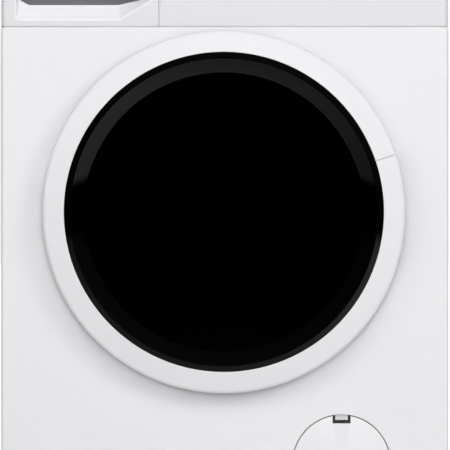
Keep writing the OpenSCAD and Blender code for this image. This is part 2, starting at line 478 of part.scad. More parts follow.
// ---- lint filter ----
module lint_filter() color([0.30, 0.50, 0.62]) union() {
  difference() {
    yext(-243, -213) polygon(concat([for (i = [0:16]) let (x = -84 + 10.5 * i) [x, door_z - sqrt(180 * 180 - x * x)]],
      [for (i = [16:-1:0]) let (x = -84 + 10.5 * i) [x, door_z - sqrt(186 * 186 - x * x)]]));
    for (i = [0:7]) box(-58.5 + i * 15.6, -50.7 + i * 15.6, -238, -218, 260, 320);
  }
  box(-26, 26, -230.5, -225.5, 276, 292);
  difference() {
    box(-66, 66, -240, -216, 118, 281);
    box(-60, 60, -238, -218, 124, 300);
    box(-56, 56, -245, -210, 128, 262);
  }
  for (y = [-240, -217.2]) { box(-1.5, 1.5, y, y + 1.2, 126, 264); for (z = [160, 196, 232]) box(-58, 58, y, y + 1.2, z - 1.5, z + 1.5); }
  for (y = [-239.4, -217]) box(-56.5, 56.5, y, y + 0.4, 127.5, 262.5);
}

// ---- door ----
function ring_front(n) = [for (i = [0:n]) let (t = i / n) [213.8 + (ring_r - 4.6 - 213.8) * t, -302.75 + 7.2 * pow(t, 1.05)]];
function ring_pts() = concat([[213, -292], [213, -302.2]], ring_front(8),
  arc(ring_r - 5.6, -289.9, 5.6, 288, 358, 7), [[ring_r + 0.4, -272.5], [ring_r - 2.6, -272.5], [ring_r - 3.1, -289.5], [ring_r - 8, -293.6], [216.2, -299.2], [216, -292]]);
function handle_pts() = concat([[213, -294], [213, -302.2]], ring_front(8),
  arc(ring_r - 5.6, -289.9, 5.6, 288, 358, 7), [[ring_r + 0.1, -283.5], [ring_r - 2.9, -283.5], [ring_r - 3.1, -289.5], [ring_r - 8, -293.6], [216.2, -299.2], [216, -294]]);
module sector(a, r, y0, y1) yext(y0, y1) translate([0, door_z]) polygon([[0, 0], [r, -r * tan(a)], [r, r * tan(a)]]);
module hinge_sweep() for (s = [-1, 1]) box(-250, -203.5, -288.6, -268, door_z + min(s * 16.2, s * 31.4), door_z + max(s * 16.2, s * 31.4));
module door_ring() color(plastic_white) difference() {
  yrev(0, door_z, ring_pts());
  sector(handle_half + 0.08, 300, -310, -260);
  for (s = [-1, 1]) box(-250, -235.2, -291.2, -268, door_z + min(s * 16.2, s * 31.4), door_z + max(s * 16.2, s * 31.4));
}
module door_handle() color(plastic_white) union() {
  intersection() {
    yrev(0, door_z, handle_pts());
    sector(handle_half - 0.08, 300, -310, -260);
  }
  for (s = [-1, 1]) box(218, 227, -296.5, -286, door_z + s * 40 - 1.2, door_z + s * 40 + 1.2);
}
module door_trim() color([0.015, 0.015, 0.018]) yrev(0, door_z, [[204.6, -297.9], [212.6, -301.8], [212.6, -287], [209.2, -287], [209.2, -275.6],
  [206.2, -275.6], [206.2, -290.5], [199, -290.5], [199, -293.8], [204.6, -293.8]]);
module door_glass() color([0.01, 0.01, 0.012]) yrev(0, door_z, [[0, -305], [glass_flat_r, -305], [glass_flat_r + 1.6, -304.6], [204.3, -298.1], [204.3, -294.2], [glass_flat_r, -301], [0, -301]]);
module door_inner_frame() color([0.86, 0.87, 0.88]) difference() {
  yrev(0, door_z, [[ring_r - 3.2, -275.5], [ring_r - 3.2, -272.5], [197, -272.5], [197, -251], [158, -251], [158, -256], [193.5, -256], [193.5, -275.5]]);
  hinge_sweep();
  intersection() { tube(300, 219, -290, -265, 0, door_z); sector(handle_half + 1, 300, -310, -260); }
  for (a = [30, 60, 90, 120, 150, 210, 240, 270, 300, 330]) ycyl(2, -280, -265, 226 * cos(a), door_z + 226 * sin(a));
}
module door_window() color([0.75, 0.80, 0.82, 0.4]) yrev(0, door_z, [[0, -260.5], [192, -260.5], [192, -256.05], [0, -256.05]]);
module door_seal() color([0.42, 0.43, 0.44]) yrev(0, door_z, [[181.5, -250.95], [194, -250.95], [194, -249.8], [190, -249.1], [184, -249.1], [181.5, -249.8]]);
module hinge_arm() color([0.66, 0.67, 0.69]) union() {
  translate([pin_x, pin_y, door_z - 32]) cylinder(r = 3, h = 64);
  translate([pin_x, pin_y, door_z - 15.5]) cylinder(r = 5.5, h = 31);
  zext(door_z - 15.5, door_z + 15.5) polygon([[-234, -282], [-229, -287], [-217, -280], [-214.5, -277.5], [-214.5, -275.6], [-235, -275.6], [-235, -278.4], [-224, -278.6]]);
}
module hinge_bracket() color([0.66, 0.67, 0.69]) difference() {
  union() {
    box(-240, -206.5, yf + sheet_t + 0.1, yf + 3.8, door_z - 40, door_z + 40);
    for (s = [-1, 1]) translate([0, 0, door_z + (s < 0 ? -30 : 17.5)]) union() {
      translate([pin_x, pin_y, 0]) cylinder(r = 5.5, h = 12.5);
      linear_extrude(height = 12.5) polygon([[-230, -290], [-216.8, -283.2], [-212, -278.4], [-209.5, -276], [-209.5, -264], [-212.5, -264], [-212.5, -275], [-217.5, -279.4], [-231, -281]]);
    }
  }
  translate([pin_x, pin_y, door_z - 60]) cylinder(r = 3.05, h = 120);
  for (s = [-1, 1]) ycyl(2.2, yf - 1, yf + 8, -232, door_z + s * 34);
}
module latch_hook() color([0.70, 0.71, 0.73]) union() {
  box(204, 218, -272.4, -270.4, door_z - 10, door_z + 10);
  box(210.5, 214, -270.5, -252, door_z - 7, door_z + 7);
  zext(door_z - 7, door_z + 7) polygon([[214, -252], [208.6, -256.5], [208.6, -259], [214, -259]]);
}
module door_lock() color([0.15, 0.15, 0.16]) difference() {
  box(205.5, 238, yf + sheet_t + 0.1, -238, door_z - 26, door_z + 26);
  box(207, 219.5, yf, -248, door_z - 11.5, door_z + 11.5);
}

base_pan();
plinth();
side_panel_left();
side_panel_right();
rear_panel();
rear_duct_cover();
worktop();
front_panel();
control_fascia();
control_board();
display_window();
tank_housing();
front_bulkhead();
front_drum_seal();
air_duct();
rear_bulkhead();
drum_bearing();
drive_belt();
drive_motor();
fan_housing();
evaporator();
condenser();
compressor();
refrigerant_pipes();
condensate_pump();
service_housing();
hinge_bracket();
door_lock();
cable_gland();
roller_axles();
foot_front_left();
foot_front_right();
foot_rear_left();
foot_rear_right();
drum_shell();
drum_back();
drum_lifters();
motor_shaft();
fan_wheel();
front_roller_left();
front_roller_right();
tensioner_arm();
tensioner_pulley();
door_ring();
door_handle();
door_trim();
door_glass();
door_inner_frame();
door_window();
door_seal();
hinge_arm();
latch_hook();
drawer_front();
water_tank();
program_knob();
start_button();
option_key();
lint_filter();
service_cover();
filter_knob();
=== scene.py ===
import math
import bpy
import bmesh
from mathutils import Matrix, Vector


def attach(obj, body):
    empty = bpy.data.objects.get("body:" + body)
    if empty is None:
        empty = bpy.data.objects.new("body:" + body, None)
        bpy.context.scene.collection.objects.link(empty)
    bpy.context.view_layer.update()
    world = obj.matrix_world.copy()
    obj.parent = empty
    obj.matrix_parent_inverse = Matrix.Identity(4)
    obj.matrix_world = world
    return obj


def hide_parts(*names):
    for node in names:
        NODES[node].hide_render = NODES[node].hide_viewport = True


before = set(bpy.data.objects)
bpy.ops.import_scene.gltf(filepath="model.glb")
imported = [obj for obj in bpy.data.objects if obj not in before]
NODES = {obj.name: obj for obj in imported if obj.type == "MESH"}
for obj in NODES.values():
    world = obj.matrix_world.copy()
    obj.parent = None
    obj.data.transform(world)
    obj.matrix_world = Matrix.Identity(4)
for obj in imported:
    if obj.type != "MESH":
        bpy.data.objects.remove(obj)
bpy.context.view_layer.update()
SC = bpy.context.scene
COL = SC.collection
sin, cos, pi, rad = math.sin, math.cos, math.pi, math.radians

# ---------------------------------------------------------------- camera
cam = bpy.data.objects.new("cam", bpy.data.cameras.new("cam"))
COL.objects.link(cam)
SC.camera = cam
CAM_D = 8.0
cam.data.sensor_width = 36.0
cam.data.lens = 36.0 * CAM_D / 0.6003
cam.location = (0.0005, -0.267 - CAM_D, 0.4456)
cam.rotation_euler = (rad(90), 0, 0)
cam.data.clip_start, cam.data.clip_end = 0.1, 200.0

# ---------------------------------------------------------------- geometry helpers (millimetres in, metres out)


def link(name, me, mat, body, sharp=32.0):
    me.shade_smooth()
    me.set_sharp_from_angle(angle=rad(sharp))
    ob = bpy.data.objects.new(name, me)
    COL.objects.link(ob)
    if mat is not None:
        me.materials.clear()
        me.materials.append(mat)
    if body is not None:
        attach(ob, body)
    return ob


def from_bm(bm, name, weld=True):
    if weld:
        bmesh.ops.remove_doubles(bm, verts=bm.verts, dist=2e-6)
    bmesh.ops.recalc_face_normals(bm, faces=bm.faces)
    me = bpy.data.meshes.new(name)
    bm.to_mesh(me)
    bm.free()
    return me


def fillet(pts, r, n=5, closed=True, keep=()):
    """Rounds the corners of a 2D outline with radius r."""
    out = []
    m = len(pts)
    for i in range(m):
        p = Vector(pts[i])
        if (not closed and i in (0, m - 1)) or i in keep:
            out.append((p.x, p.y))
            continue
        a, b = Vector(pts[(i - 1) % m]) - p, Vector(pts[(i + 1) % m]) - p
        la, lb = a.length, b.length
        if la < 1e-6 or lb < 1e-6:
            continue
        a, b = a / la, b / lb
        dot = max(-1, min(1, a.dot(b)))
        ang = math.acos(dot)
        if ang > pi - 0.06:
            out.append((p.x, p.y))
            continue
        rr = r[i] if isinstance(r, (list, tuple)) else r
        t = min(rr / math.tan(ang / 2), la * 0.48, lb * 0.48)
        rr = t * math.tan(ang / 2)
        if rr < 1e-4:
            out.append((p.x, p.y))
            continue
        c = p + (a + b).normalized() * (rr / sin(ang / 2))
        s, e = p + a * t - c, p + b * t - c
        a0 = math.atan2(s.y, s.x)
        d = math.atan2(e.y, e.x) - a0
        while d > pi:
            d -= 2 * pi
        while d < -pi:
            d += 2 * pi
        for k in range(n + 1):
            q = a0 + d * k / n
            out.append((c.x + rr * cos(q), c.y + rr * sin(q)))
    return out


def lathe(name, prof, cx, cz, a0=0.0, a1=360.0, seg=256, closed=True):
    """Turns the outline (r, y) about a line along Y through (cx, cz)."""
    bm = bmesh.new()
    full = abs(a1 - a0 - 360) < 1e-6
    n = seg if full else max(2, int(seg * (a1 - a0) / 360))
    rings = []
    for i in range(n if full else n + 1):
        a = rad(a0 + (a1 - a0) * i / n)
        rings.append([bm.verts.new(((cx + r * cos(a)) / 1000, y / 1000, (cz + r * sin(a)) / 1000)) for r, y in prof])
    m = len(prof)
    for i in range(n):
        A, B = rings[i], rings[(i + 1) % len(rings)]
        for j in range(m if closed else m - 1):
            k = (j + 1) % m
            if prof[j][0] < 1e-6 and prof[k][0] < 1e-6:
                continue
            bm.faces.new((A[j], A[k], B[k], B[j]))
    if not full and closed:
        bm.faces.new(rings[0])
        bm.faces.new(list(reversed(rings[-1])))
    return from_bm(bm, name)


def prism(name, pts, y0, y1, axis="y"):
    """Solid between y0 and y1 over an outline (x, z)."""
    bm = bmesh.new()

    def v(p, d):
        if axis == "y":
            return (p[0] / 1000, d / 1000, p[1] / 1000)
        if axis == "x":
            return (d / 1000, p[0] / 1000, p[1] / 1000)
        return (p[0] / 1000, p[1] / 1000, d / 1000)

    A = [bm.verts.new(v(p, y0)) for p in pts]
    B = [bm.verts.new(v(p, y1)) for p in pts]
    bm.faces.new(A)
    bm.faces.new(list(reversed(B)))
    for i in range(len(pts)):
        j = (i + 1) % len(pts)
        bm.faces.new((A[i], B[i], B[j], A[j]))
    return from_bm(bm, name)


def loft(name, sections, caps=True, loop=True):
    """Skin through equal-length lists of 3D points (mm)."""
    bm = bmesh.new()
    S = [[bm.verts.new((p[0] / 1000, p[1] / 1000, p[2] / 1000)) for p in sec] for sec in sections]
    m = len(S[0])
    for A, B in zip(S, S[1:]):
        for j in range(m if loop else m - 1):
            k = (j + 1) % m
            bm.faces.new((A[j], A[k], B[k], B[j]))
    if caps and loop:
        bm.faces.new(S[0])
        bm.faces.new(list(reversed(S[-1])))
    return from_bm(bm, name)


def boxmesh(name, x0, x1, y0, y1, z0, z1):
    return prism(name, [(x0, z0), (x1, z0), (x1, z1), (x0, z1)], y0, y1)


def tmp(me):
    ob = bpy.data.objects.new(me.name, me)
    COL.objects.link(ob)
    return ob


def bake(ob):
    dg = bpy.context.evaluated_depsgraph_get()
    me = bpy.data.meshes.new_from_object(ob.evaluated_get(dg))
    name = ob.name
    bpy.data.objects.remove(ob)
    me.name = name
    return me


def modify(me, *steps):
    """steps: ("cut", mesh) ("join", mesh) ("bevel", mm, segments, degrees) ("solid", mm)"""
    ob = tmp(me)
    used = []
    for s in steps:
        if s[0] in ("cut", "join"):
            c = tmp(s[1])
            used.append(c)
            m = ob.modifiers.new("b", "BOOLEAN")
            m.operation = "DIFFERENCE" if s[0] == "cut" else "UNION"
            m.object = c
            m.solver = "EXACT"
        elif s[0] == "bevel":
            m = ob.modifiers.new("v", "BEVEL")
            m.width = s[1] / 1000
            m.segments = s[2]
            m.limit_method = "ANGLE"
            m.angle_limit = rad(s[3] if len(s) > 3 else 40)
            m.harden_normals = False
            m.use_clamp_overlap = True
        elif s[0] == "solid":
            m = ob.modifiers.new("s", "SOLIDIFY")
            m.thickness = s[1] / 1000
            m.offset = -1
            m.use_even_offset = True
    out = bake(ob)
    for c in used:
        bpy.data.objects.remove(c)
    return out


def merge(name, *meshes):
    bm = bmesh.new()
    for me in meshes:
        bm.from_mesh(me)
    me = bpy.data.meshes.new(name)
    bm.to_mesh(me)
    bm.free()
    return me


def rrect(x0, x1, z0, z1, r, n=8):
    out = []
    for cx, cz, a in ((x1 - r, z1 - r, 0), (x0 + r, z1 - r, 90), (x0 + r, z0 + r, 180), (x1 - r, z0 + r, 270)):
        for i in range(n + 1):
            q = rad(a + 90 * i / n)
            out.append((cx + r * cos(q), cz + r * sin(q)))
    return out


# ---------------------------------------------------------------- materials


class N:
    def __init__(self, name):
        self.m = bpy.data.materials.new(name)
        self.m.use_nodes = True
        self.t = self.m.node_tree
        self.b = self.t.nodes["Principled BSDF"]
        self.co = self.t.nodes.new("ShaderNodeTexCoord").outputs["Object"]

    def node(self, kind, **kw):
        n = self.t.nodes.new(kind)
        for k, v in kw.items():
            if k in n.inputs:
                n.inputs[k].default_value = v
            else:
                setattr(n, k, v)
        return n

    def link(self, a, b):
        self.t.links.new(a, b)

    def noise(self, scale, detail=3.0, rough=0.5, stretch=None, shift=(0, 0, 0)):
        n = self.node("ShaderNodeTexNoise", Scale=scale, Detail=detail, Roughness=rough)
        mp = self.node("ShaderNodeMapping")
        mp.inputs["Scale"].default_value = stretch or (1, 1, 1)
        mp.inputs["Location"].default_value = shift
        self.link(self.co, mp.inputs["Vector"])
        self.link(mp.outputs["Vector"], n.inputs["Vector"])
        return n.outputs["Fac"]

    def remap(self, fac, lo, hi, a=0.3, b=0.7):
        r = self.node("ShaderNodeMapRange")
        for k, v in (("From Min", a), ("From Max", b), ("To Min", lo), ("To Max", hi)):
            r.inputs[k].default_value = v
        self.link(fac, r.inputs["Value"])
        return r.outputs["Result"]

    def mix(self, fac, c0, c1):
        r = self.node("ShaderNodeMix", data_type="RGBA")
        self.link(fac, r.inputs["Factor"])
        r.inputs[6].default_value = (*c0, 1)
        r.inputs[7].default_value = (*c1, 1)
        return r.outputs[2]

    def bump(self, height, strength, dist=0.0005):
        b = self.node("ShaderNodeBump", Strength=strength, Distance=dist)
        self.link(height, b.inputs["Height"])
        self.link(b.outputs["Normal"], self.b.inputs["Normal"])


def surface(name, base, rough, metal=0.0, vary=0.02, scale=6.0, rvary=0.04, rscale=30.0, grain=0.0, gscale=900.0, stretch=None, gdist=0.0002, coat=0.0, coat_rough=0.05, dirt=None, ior=1.5, sheen=0.0):
    k = N(name)
    b = k.b
    b.inputs["Metallic"].default_value = metal
    b.inputs["IOR"].default_value = ior
    b.inputs["Coat Weight"].default_value = coat
    b.inputs["Coat Roughness"].default_value = coat_rough
    if sheen:
        b.inputs["Sheen Weight"].default_value = sheen
    lo = tuple(max(0.0, c * (1 - vary)) for c in base)
    hi = tuple(min(1.0, c * (1 + vary)) for c in base)
    if dirt:
        lo = dirt
    k.link(k.mix(k.remap(k.noise(scale, 4, stretch=stretch), 0, 1), lo, hi), b.inputs["Base Color"])
    k.link(k.remap(k.noise(rscale, 3, stretch=stretch, shift=(3, 1, 7)), max(0.02, rough - rvary), rough + rvary), b.inputs["Roughness"])
    if grain:
        k.bump(k.noise(gscale, 2, stretch=stretch, shift=(9, 4, 2)), grain, gdist)
    return k.m


ENAMEL = surface("white_enamel", (0.855, 0.855, 0.872), 0.34, vary=0.004, scale=3.0, rvary=0.03, rscale=14.0, grain=0.05, gscale=420.0, gdist=0.0001, coat=0.25, coat_rough=0.18)
FASCIA = surface("white_fascia", (0.795, 0.795, 0.815), 0.36, vary=0.004, scale=4.0, rvary=0.02, grain=0.03, gscale=1500.0)
RING = surface("white_ring", (0.856, 0.856, 0.873), 0.24, vary=0.004, scale=4.0, rvary=0.02, grain=0.015, gscale=1500.0, coat=0.3, coat_rough=0.12)
# painted light: a lighter copy of the drawer plastic for the grip recess, so its upward-facing lip reads brighter than
# the drawer face
POCKET_PAINTED_LIGHT = surface("white_pocket_painted_light", (0.90, 0.90, 0.925), 0.36, vary=0.004, scale=4.0, rvary=0.02, grain=0.03, gscale=1500.0)
# painted shade: a dark grey that stands in for the shadow deep in the grip recess under its upper lip
CUP_PAINTED_SHADE = surface("grip_cup_painted_shade", (0.22, 0.22, 0.23), 0.5, vary=0.04, scale=20.0, grain=0.1, gscale=900.0)
INNERW = surface("white_inner_moulding", (0.82, 0.82, 0.835), 0.40, vary=0.01, scale=12.0, grain=0.12, gscale=1300.0)
STRIP = surface("joint_strip_grey", (0.80, 0.80, 0.81), 0.5, vary=0.03, scale=20.0, grain=0.05, gscale=900.0)
TOP = surface("worktop_laminate", (0.84, 0.84, 0.85), 0.42, vary=0.01, scale=9.0, rvary=0.05, grain=0.12, gscale=1300.0, gdist=0.00015)
KNOBW = surface("knob_white", (0.84, 0.84, 0.855), 0.3, vary=0.006, grain=0.03, gscale=1200.0)
SILVER = surface("knob_silver", (0.72, 0.72, 0.74), 0.28, metal=1.0, vary=0.02, scale=20.0, grain=0.05, gscale=700.0)
GLASSB = surface("black_glass", (0.0002, 0.0002, 0.00024), 0.035, vary=0.3, scale=3.0, rvary=0.012, rscale=5.0, ior=1.5)
TRIMB = surface("black_trim", (0.0008, 0.0008, 0.0009), 0.10, vary=0.3, scale=5.0, rvary=0.02, ior=1.5)
DISPLAY = surface("display_black", (0.006, 0.006, 0.007), 0.08, vary=0.2, scale=5.0, rvary=0.02)
DARK = surface("dark_plastic", (0.035, 0.035, 0.038), 0.5, vary=0.15, scale=30.0, grain=0.3, gscale=1500.0)
MIDG = surface("grey_moulding", (0.36, 0.365, 0.38), 0.5, vary=0.05, scale=12.0, grain=0.25, gscale=1300.0)
LIGHTG = surface("light_moulding", (0.66, 0.665, 0.68), 0.42, vary=0.02, scale=12.0, grain=0.2, gscale=1300.0)
TANK = surface("tank_plastic", (0.70, 0.75, 0.78), 0.38, vary=0.03, scale=8.0, grain=0.1, gscale=800.0)
TANK.node_tree.nodes["Principled BSDF"].inputs["Subsurface Weight"].default_value = 0.15
STEEL = surface("galvanised", (0.60, 0.61, 0.63), 0.44, metal=0.35, vary=0.08, scale=28.0, rvary=0.10, rscale=45.0, grain=0.08, gscale=260.0)
INOX = surface("drum_inox", (0.60, 0.605, 0.61), 0.27, metal=1.0, vary=0.05, scale=14.0, rvary=0.06, grain=0.15, gscale=500.0, stretch=(1, 0.02, 1), gdist=0.0001)
ZINC = surface("zinc_steel", (0.55, 0.555, 0.57), 0.36, metal=0.95, vary=0.08, scale=60.0, rvary=0.08, grain=0.1, gscale=500.0)
RUBBER = surface("black_rubber", (0.022, 0.022, 0.023), 0.72, vary=0.2, scale=40.0, grain=0.4, gscale=900.0)
SEAL = surface("seal_rubber", (0.085, 0.085, 0.09), 0.62, vary=0.15, scale=40.0, grain=0.3, gscale=900.0)
FELT = surface("felt", (0.10, 0.095, 0.09), 0.95, vary=0.3, scale=500.0, grain=1.0, gscale=2500.0, gdist=0.0006, sheen=0.3)
FINS = surface("fins", (0.66, 0.67, 0.68), 0.35, metal=1.0, vary=0.08, scale=90.0, grain=0.1)
COPPER = surface("copper", (0.62, 0.27, 0.14), 0.32, metal=1.0, vary=0.12, scale=70.0, grain=0.1)
ENAMELK = surface("black_enamel", (0.012, 0.012, 0.013), 0.28, vary=0.2, scale=30.0, grain=0.1, gscale=300.0)
PCB = surface("pcb", (0.012, 0.10, 0.045), 0.4, vary=0.3, scale=120.0)
BLUE = surface("filter_plastic", (0.045, 0.14, 0.24), 0.4, vary=0.06, scale=15.0, grain=0.2, gscale=1200.0)


def clear_glass():
    k = N("clear_glass")
    k.b.inputs["Base Color"].default_value = (0.93, 0.96, 0.96, 1)
    k.b.inputs["Transmission Weight"].default_value = 1.0
    k.b.inputs["IOR"].default_value = 1.45
    k.link(k.remap(k.noise(20, 2), 0.02, 0.05), k.b.inputs["Roughness"])
    return k.m


CLEAR = clear_glass()

ND = dict(
    base_pan=MIDG, plinth=FASCIA, side_panel_left=ENAMEL, side_panel_right=ENAMEL, rear_panel=STEEL, rear_duct_cover=STEEL, worktop=TOP, front_panel=ENAMEL,
    control_fascia=FASCIA, control_board=PCB, display_window=DISPLAY, tank_housing=MIDG, front_bulkhead=LIGHTG, front_drum_seal=FELT, air_duct=MIDG,
    rear_bulkhead=STEEL, drum_bearing=ZINC, drive_belt=RUBBER, drive_motor=ZINC, fan_housing=MIDG, evaporator=FINS, condenser=FINS, compressor=ENAMELK,
    refrigerant_pipes=COPPER, condensate_pump=DARK, service_housing=LIGHTG, hinge_bracket=ZINC, door_lock=DARK, cable_gland=DARK, roller_axles=ZINC,
    foot_front_left=RUBBER, foot_front_right=RUBBER, foot_rear_left=RUBBER, foot_rear_right=RUBBER, drum_shell=INOX, drum_back=INOX, drum_lifters=MIDG,
    motor_shaft=ZINC, fan_wheel=DARK, front_roller_left=RUBBER, front_roller_right=RUBBER, tensioner_arm=ZINC, tensioner_pulley=DARK, door_ring=RING,
    door_handle=RING, door_trim=TRIMB, door_glass=GLASSB, door_inner_frame=INNERW, door_window=CLEAR, door_seal=SEAL, hinge_arm=ZINC, latch_hook=ZINC,
    drawer_front=FASCIA, water_tank=TANK, program_knob=KNOBW, start_button=KNOBW, option_key=KNOBW, lint_filter=BLUE, service_cover=ENAMEL, filter_knob=DARK)
for n, m in ND.items():
    o = NODES[n]
    if not o.data.materials:
        o.data.materials.append(m)
    for s in o.material_slots:
        s.material = m

# ---------------------------------------------------------------- front panel
DZ, DRUMZ = 463.0, 515.0
HW, YF = 298.5, -267.0
SEAM, TOPZ, PBOT, GAP = 710.0, 822.0, 46.0, 1.2
CX, CZ, CR = 156.0, 127.0, 64.8
SPLIT = -87.6


def wrap_rows(x0, x1, rl, rr, face, yback, zb, zt, rv, flange, nz=2, ncorner=10, back_fn=None):
    """Rows of points for a face that wraps back round its ends, with rounded top and bottom edges."""
    prof = [(flange, zb)]
    for i in range(7):
        a = rad(90 * i / 6)
        prof.append((rv * (1 - sin(a)), zb + rv * (1 - cos(a))))
    for i in range(1, nz):
        prof.append((0.0, zb + rv + (zt - zb - 2 * rv) * i / nz))
    for i in range(7):
        a = rad(90 * i / 6)
        prof.append((rv * (1 - cos(a)), zt - rv * (1 - sin(a))))
    prof.append((flange, zt))
    rows = []
    for d, z in prof:
        y = face(z) + d
        row = [(x0 + d, yback, z)]
        r = max(rl - d, 0.02)
        for i in range(ncorner + 1):
            a = rad(180 + 90 * i / ncorner)
            row.append((x0 + d + r + r * cos(a), y + r + r * sin(a), z))
        r = max(rr - d, 0.02)
        for i in range(ncorner + 1):
            a = rad(270 + 90 * i / ncorner)
            row.append((x1 - d - r + r * cos(a), y + r + r * sin(a), z))
        row.append((x1 - d, yback, z))
        rows.append(row)
    return rows


def disc(r, y0, y1, x=0.0, z=DZ, seg=256):
    return prism("c", [(x + r * cos(2 * pi * i / seg), z + r * sin(2 * pi * i / seg)) for i in range(seg)], y0, y1)


rows = wrap_rows(-HW, HW, 5, 5, lambda z: YF, -249.5, PBOT, SEAM - GAP / 2, 1.9, 11)
me = loft("front_panel_skin", rows, caps=False, loop=False)
steps = [("solid", 1.2), ("cut", disc(203, -280, -240)), ("cut", disc(CR + 1.2, -280, -240, CX, CZ, 160))]
for s in (-1, 1):
    a, b = sorted((DZ + s * 16, DZ + s * 31.5))
    steps.append(("cut", boxmesh("c", -214.5, -207.5, -280, -255, a, b)))
steps.append(("cut", boxmesh("c", 207, 219, -280, -255, DZ - 11, DZ + 11)))
me = modify(me, *steps)
lip = lathe("lip", fillet([(203.0, -266.9), (204.6, -266.9), (204.6, -262.7), (203.0, -262.7)], 0.5), 0, DZ, seg=220)
front = link("front_panel_skin", merge("front_panel_skin", me, lip), ENAMEL, "cabinet")
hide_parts("front_panel")


# ---------------------------------------------------------------- fascia and drawer front
def face_y(z):
    return -269.8 + 3.4 * ((z - 772) / 61) ** 2


KX, CTZ, STX, OPX = 2.0, 784.0, 272.0, 226.0
rows = wrap_rows(SPLIT + GAP / 2, HW - 1.3, 1.0, 6, face_y, -252, SEAM + GAP / 2, TOPZ - 0.6, 1.0, 9, nz=16)
me = loft("fascia_skin", rows, caps=False, loop=False)
me = modify(me, ("solid", 2.4), ("cut", disc(5, -285, -255, KX, CTZ, 48)), ("cut", prism("c", rrect(70, 190, CTZ - 20, CTZ + 20, 3), -285, -255)),
            ("cut", prism("c", rrect(OPX - 9.5, OPX + 9.5, CTZ - 6.5, CTZ + 6.5, 5), -285, -255)), ("cut", disc(11.5, -285, -255, STX, CTZ, 64)))
fascia = link("fascia_skin", me, FASCIA, "cabinet")
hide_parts("control_fascia")

rows = wrap_rows(-HW + 1.3, SPLIT - GAP / 2, 6, 1.0, face_y, -252, SEAM + GAP / 2, TOPZ - 0.6, 1.0, 9, nz=16)
me = loft("drawer_skin", rows, caps=False, loop=False)
GF = [(-278, 722.5), (-275, 719.5), (-141, 719.5), (-98.5, 744.9), (-96.5, 749), (-96.5, 771), (-101, 775.5), (-273, 775.5), (-278, 770.5)]
GD = [(-275.2, 747.5), (-262, 739.8), (-142, 739.8), (-113, 746), (-105.5, 752), (-105, 767), (-107.5, 769.5), (-272.7, 769.5), (-275.2, 767)]
gf = fillet(GF, [3, 3, 9, 6, 3, 5, 5, 5, 4], 5)
gd = fillet(GD, [6, 12, 20, 10, 5, 2, 2, 2, 2], 5)


def grow(pts, d):
    """Moves an outline that runs counter-clockwise outwards by d."""
    out = []
    for i in range(len(pts)):
        t = Vector(pts[(i + 1) % len(pts)]) - Vector(pts[i - 1])
        t.normalize()
        out.append((pts[i][0] + t.y * d, pts[i][1] - t.x * d))
    return out


def mixp(a, b, t):
    return [(p[0] + (q[0] - p[0]) * t, p[1] + (q[1] - p[1]) * t) for p, q in zip(a, b)]


LIP = 1.5
shell = []
for i in range(7):
    a = rad(90 * i / 6)
    o, d = LIP * (1 - sin(a)), LIP * (1 - cos(a))
    shell.append([(x, face_y(z) + d, z) for x, z in grow(mixp(gf, gd, 0.10 * sin(a)), o)])
YM = -250.5
for i in range(1, 7):
    t = i / 6
    o = mixp(gf, gd, 0.10 + 0.82 * t)
    shell.append([(x, face_y(z) + LIP + (YM - (face_y(z) + LIP)) * t, z) for x, z in o])
for i in range(1, 6):
    a = rad(90 * i / 5)
    shell.append([(x, YM + 3.0 * (1 - cos(a)), z) for x, z in mixp(gf, gd, 0.92 + 0.08 * sin(a))])
back = []
for i, sec in enumerate(shell):
    g = 0.0 if i == 0 else 1.4
    back.append([(x, q[1] + 1.4, z) for (x, z), q in zip(grow([(v[0], v[2]) for v in sec], g), sec)])
wide = grow(gf, LIP)
plug = loft("plug", [[(x, y, z) for x, z in wide] for y in (-285.0, -262.0)])
me = modify(me, ("solid", 2.4), ("cut", plug))
pk = loft("pocket", shell + back[::-1] + shell[:1], caps=False)
bm = bmesh.new()
bm.from_mesh(pk)
bmesh.ops.remove_doubles(bm, verts=bm.verts, dist=1e-6)
bmesh.ops.recalc_face_normals(bm, faces=bm.faces)
bm.to_mesh(pk)
bm.free()
drawer = link("drawer_skin", me, FASCIA, "tank_drawer", 38)
# the grip pocket gets the lighter painted-light copy of the drawer plastic
link("grip_pocket", pk, POCKET_PAINTED_LIGHT, "tank_drawer", 38)
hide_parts("drawer_front")
# the cup at the back of the grip recess carries the dark painted-shade material, its grey standing in for the shadow
# under the upper lip
cup = [[(x, y, z) for x, z in grow(gd, o)] for y, o in ((-229.6, -3.0), (-230.2, -1.4), (-232.0, -0.7), (-247.4, -0.5), (-248.2, 0.05), (-248.0, 0.6), (-228.6, 0.6))]
cup = loft("grip_cup", cup)
bm = bmesh.new()
bm.from_mesh(cup)
bmesh.ops.recalc_face_normals(bm, faces=bm.faces)
bm.to_mesh(cup)
bm.free()
link("grip_cup", cup, CUP_PAINTED_SHADE, "tank_drawer", 38)

# strips that close the joints behind the outer skins
link("joint_strip", modify(boxmesh("joint_strip", -HW + 4, HW - 4, -266.35, -256.5, SEAM - 0.75, SEAM + 0.35), ("bevel", 0.15, 2)), STRIP, "cabinet")
rows = []
for i in range(25):
    z = SEAM + 1.4 + (TOPZ - 2.0 - SEAM - 1.4) * i / 24
    f = face_y(z)
    rows.append([(SPLIT - 0.35, f + 1.5, z), (SPLIT + 0.75, f + 1.5, z), (SPLIT + 0.75, f + 9, z), (SPLIT - 0.35, f + 9, z)])
link("split_strip", loft("split_strip", rows), STRIP, "cabinet")

# ---------------------------------------------------------------- worktop
sec = [(283, 823.2), (283, 842.5), (280.5, 845)] + [(-265 - 5 * sin(rad(a)), 840 + 5 * cos(rad(a))) for a in range(0, 91, 15)] + [(-270, 824), (-268.5, 822.2), (281.5, 822)]
me = prism("worktop_board", [(p[0], p[1]) for p in sec], -HW, HW, axis="x")
me = modify(me, ("bevel", 1.6, 3, 50))
top = link("worktop_board", me, TOP, "cabinet", 40)
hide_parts("worktop")

# ---------------------------------------------------------------- door
RI, RO = 212.6, 241.4
DX = -1.0


